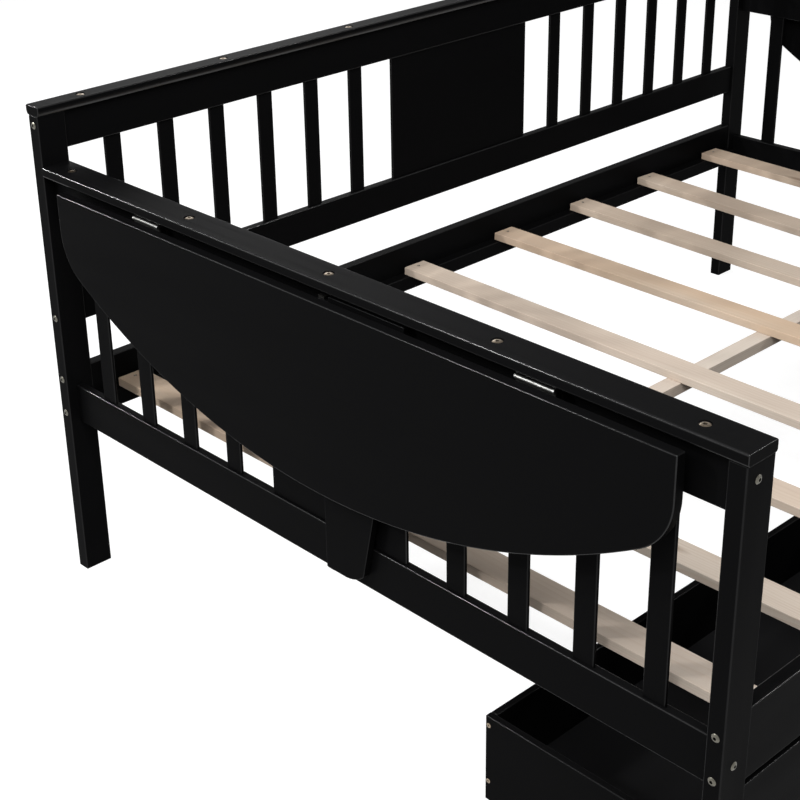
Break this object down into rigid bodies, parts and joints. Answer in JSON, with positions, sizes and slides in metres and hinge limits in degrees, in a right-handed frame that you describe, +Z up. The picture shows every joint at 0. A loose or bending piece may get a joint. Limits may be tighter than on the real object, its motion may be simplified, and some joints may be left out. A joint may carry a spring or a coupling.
{
  "type": "daybed with drawers",
  "caption": "Black wooden daybed for a full mattress, with slatted pine deck, rolling under-bed drawers and a folding drop leaf table at each end.",
  "frame": {"origin": "on the floor, under the centre of the daybed's bounding box", "axes": "+X along the bed towards the right end, +Y towards the back panel, +Z up; the open front faces -Y"},
  "size_m": [2.048, 1.43, 0.89],
  "materials": {
    "black_paint": "near-black satin paint over wood, edges catching light",
    "pine": "pale unfinished pine, fine straight grain",
    "steel": "zinc-plated steel hinge and pivot",
    "drawer_bottom": "dark grey faced thin board",
    "wheel_plastic": "black plastic wheel"
  },
  "bodies": {
    "frame": {"rear_left_post": "black_paint", "rear_right_post": "black_paint", "front_left_post": "black_paint", "front_right_post": "black_paint", "back_cap": "black_paint", "back_upper_rail": "black_paint", "back_lower_rail_with_spindles": "black_paint", "back_middle_board": "black_paint", "left_end_cap": "black_paint", "left_end_upper_rail": "black_paint", "left_end_lower_rail_with_spindles": "black_paint", "left_end_middle_board": "black_paint", "left_leaf_bracket": "black_paint", "right_end_cap": "black_paint", "right_end_upper_rail": "black_paint", "right_end_lower_rail_with_spindles": "black_paint", "right_end_middle_board": "black_paint", "right_leaf_bracket": "black_paint", "rear_side_rail": "black_paint", "front_side_rail": "black_paint", "mattress_slat_1": "pine", "mattress_slat_2": "pine", "mattress_slat_3": "pine", "mattress_slat_4": "pine", "mattress_slat_5": "pine", "mattress_slat_6": "pine", "mattress_slat_7": "pine", "mattress_slat_8": "pine", "centre_beam": "pine", "left_rear_hinge_fixed_half": "steel", "left_front_hinge_fixed_half": "steel", "left_bracket_pivot": "steel", "right_rear_hinge_fixed_half": "steel", "right_front_hinge_fixed_half": "steel", "right_bracket_pivot": "steel"},
    "left_leaf": {"left_table_leaf": "black_paint", "left_rear_hinge_moving_half": "steel", "left_front_hinge_moving_half": "steel"},
    "right_leaf": {"right_table_leaf": "black_paint", "right_rear_hinge_moving_half": "steel", "right_front_hinge_moving_half": "steel"},
    "drawer_1": {"drawer_1_front": "black_paint", "drawer_1_left_side": "black_paint", "drawer_1_right_side": "black_paint", "drawer_1_back": "black_paint", "drawer_1_bottom": "drawer_bottom"},
    "drawer_1_front_left_wheel": {"drawer_1_front_left_wheel": "wheel_plastic"},
    "drawer_1_front_right_wheel": {"drawer_1_front_right_wheel": "wheel_plastic"},
    "drawer_1_rear_left_wheel": {"drawer_1_rear_left_wheel": "wheel_plastic"},
    "drawer_1_rear_right_wheel": {"drawer_1_rear_right_wheel": "wheel_plastic"},
    "drawer_2": {"drawer_2_front": "black_paint", "drawer_2_left_side": "black_paint", "drawer_2_right_side": "black_paint", "drawer_2_back": "black_paint", "drawer_2_bottom": "drawer_bottom"},
    "drawer_2_front_left_wheel": {"drawer_2_front_left_wheel": "wheel_plastic"},
    "drawer_2_front_right_wheel": {"drawer_2_front_right_wheel": "wheel_plastic"},
    "drawer_2_rear_left_wheel": {"drawer_2_rear_left_wheel": "wheel_plastic"},
    "drawer_2_rear_right_wheel": {"drawer_2_rear_right_wheel": "wheel_plastic"}
  },
  "joints": [
    {"name": "left_leaf_fold", "type": "hinge", "parent": "frame", "child": "left_leaf", "pos_m": [-1.007, -0.0015, 0.763], "axis": [0, 1, 0], "range_deg": [0, 90]},
    {"name": "right_leaf_fold", "type": "hinge", "parent": "frame", "child": "right_leaf", "pos_m": [1.007, -0.0015, 0.763], "axis": [0, -1, 0], "range_deg": [0, 90]},
    {"name": "drawer_1_pull", "type": "slide", "parent": "frame", "child": "drawer_1", "axis": [0, -1, 0], "range_m": [0, 0.4]},
    {"name": "drawer_1_front_left_wheel_roll", "type": "hinge", "parent": "drawer_1", "child": "drawer_1_front_left_wheel", "pos_m": [-0.93, -0.6217, 0.018], "axis": [1, 0, 0], "range_deg": [-5, 1280]},
    {"name": "drawer_1_front_right_wheel_roll", "type": "hinge", "parent": "drawer_1", "child": "drawer_1_front_right_wheel", "pos_m": [-0.025, -0.6217, 0.018], "axis": [1, 0, 0], "range_deg": [-5, 1280]},
    {"name": "drawer_1_rear_left_wheel_roll", "type": "hinge", "parent": "drawer_1", "child": "drawer_1_rear_left_wheel", "pos_m": [-0.93, -0.3578, 0.018], "axis": [1, 0, 0], "range_deg": [-5, 1280]},
    {"name": "drawer_1_rear_right_wheel_roll", "type": "hinge", "parent": "drawer_1", "child": "drawer_1_rear_right_wheel", "pos_m": [-0.025, -0.3578, 0.018], "axis": [1, 0, 0], "range_deg": [-5, 1280]},
    {"name": "drawer_2_pull", "type": "slide", "parent": "frame", "child": "drawer_2", "axis": [0, -1, 0], "range_m": [0, 0.4]},
    {"name": "drawer_2_front_left_wheel_roll", "type": "hinge", "parent": "drawer_2", "child": "drawer_2_front_left_wheel", "pos_m": [0.025, -0.6217, 0.018], "axis": [1, 0, 0], "range_deg": [-5, 1280]},
    {"name": "drawer_2_front_right_wheel_roll", "type": "hinge", "parent": "drawer_2", "child": "drawer_2_front_right_wheel", "pos_m": [0.93, -0.6217, 0.018], "axis": [1, 0, 0], "range_deg": [-5, 1280]},
    {"name": "drawer_2_rear_left_wheel_roll", "type": "hinge", "parent": "drawer_2", "child": "drawer_2_rear_left_wheel", "pos_m": [0.025, -0.3578, 0.018], "axis": [1, 0, 0], "range_deg": [-5, 1280]},
    {"name": "drawer_2_rear_right_wheel_roll", "type": "hinge", "parent": "drawer_2", "child": "drawer_2_rear_right_wheel", "pos_m": [0.93, -0.3578, 0.018], "axis": [1, 0, 0], "range_deg": [-5, 1280]}
  ],
  "couplings": [
    {"joint": "drawer_1_front_left_wheel_roll", "follows": "drawer_1_pull", "rad_per_m": 55.556},
    {"joint": "drawer_1_front_right_wheel_roll", "follows": "drawer_1_pull", "rad_per_m": 55.556},
    {"joint": "drawer_1_rear_left_wheel_roll", "follows": "drawer_1_pull", "rad_per_m": 55.556},
    {"joint": "drawer_1_rear_right_wheel_roll", "follows": "drawer_1_pull", "rad_per_m": 55.556},
    {"joint": "drawer_2_front_left_wheel_roll", "follows": "drawer_2_pull", "rad_per_m": 55.556},
    {"joint": "drawer_2_front_right_wheel_roll", "follows": "drawer_2_pull", "rad_per_m": 55.556},
    {"joint": "drawer_2_rear_left_wheel_roll", "follows": "drawer_2_pull", "rad_per_m": 55.556},
    {"joint": "drawer_2_rear_right_wheel_roll", "follows": "drawer_2_pull", "rad_per_m": 55.556}
  ]
}
